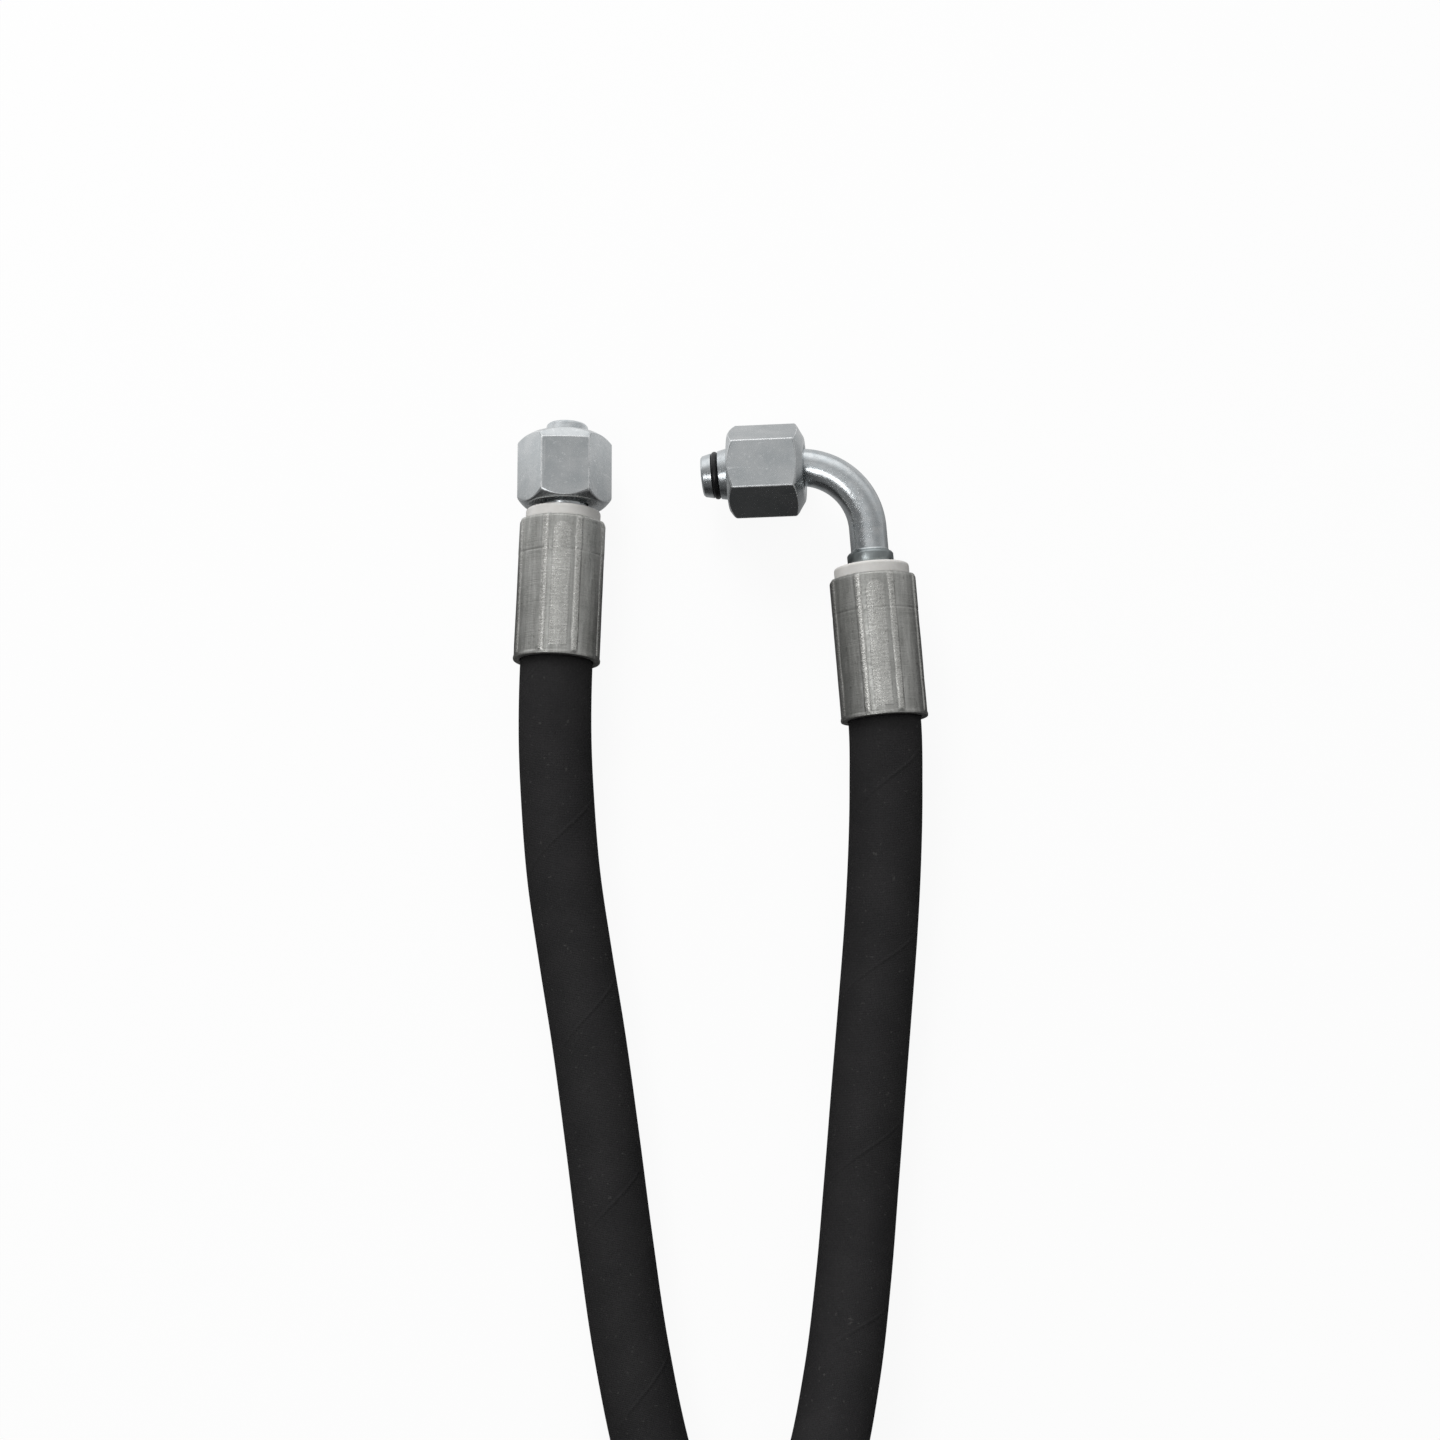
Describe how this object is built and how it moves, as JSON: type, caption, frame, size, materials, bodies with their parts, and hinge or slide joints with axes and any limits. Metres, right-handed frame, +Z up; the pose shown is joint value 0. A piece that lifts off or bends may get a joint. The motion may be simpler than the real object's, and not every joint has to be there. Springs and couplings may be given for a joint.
{
  "type": "hydraulic hose assembly",
  "caption": "Rubber hydraulic hose with a crimped straight swivel fitting and a crimped 90 degree swivel fitting, laid flat with its slack in a loop.",
  "frame": {"origin": "on the ground plane, under the middle of the box round both fittings without the free hose", "axes": "+Y along the straight fitting, out of its cone; +Z up from the ground it lies on; +X from the straight fitting to the elbow fitting"},
  "size_m": [0.2112, 0.5378, 0.0392],
  "materials": {
    "hose_rubber": "matte, wrapped-cloth impression",
    "inner_rubber": "smooth",
    "braid_wire": "brass-coated wire",
    "zinc_steel": "bright zinc plating",
    "zinc_nut": "bright zinc plating, fine scratches",
    "ferrule_steel": "dull plating, drawn streaks",
    "guard_nylon": "off-white nylon",
    "seal_rubber": "glossy nitrile rubber"
  },
  "bodies": {
    "assembly": {"hose_straight_run": "hose_rubber", "hose_coil": "hose_rubber", "hose_elbow_run": "hose_rubber", "straight_liner": "inner_rubber", "straight_inner_braid": "braid_wire", "straight_separator": "inner_rubber", "straight_outer_braid": "braid_wire", "straight_cover": "hose_rubber", "straight_insert": "zinc_steel", "straight_o_ring": "seal_rubber", "straight_ferrule": "ferrule_steel", "straight_guard_ring": "guard_nylon", "elbow_liner": "inner_rubber", "elbow_inner_braid": "braid_wire", "elbow_separator": "inner_rubber", "elbow_outer_braid": "braid_wire", "elbow_cover": "hose_rubber", "elbow_insert": "zinc_steel", "elbow_o_ring": "seal_rubber", "elbow_ferrule": "ferrule_steel", "elbow_guard_ring": "guard_nylon"},
    "straight_nut": {"straight_nut": "zinc_nut"},
    "elbow_nut": {"elbow_nut": "zinc_nut"}
  },
  "joints": [
    {"name": "straight_nut_swivel", "type": "hinge", "parent": "assembly", "child": "straight_nut", "pos_m": [-0.04291, 0.02575, 0.0116], "axis": [-0.0384, 0.9993, 0], "continuous": true},
    {"name": "elbow_nut_swivel", "type": "hinge", "parent": "assembly", "child": "elbow_nut", "pos_m": [0.01128, 0.02744, 0.0123], "axis": [-0.9935, -0.0484, -0.1031], "continuous": true}
  ]
}
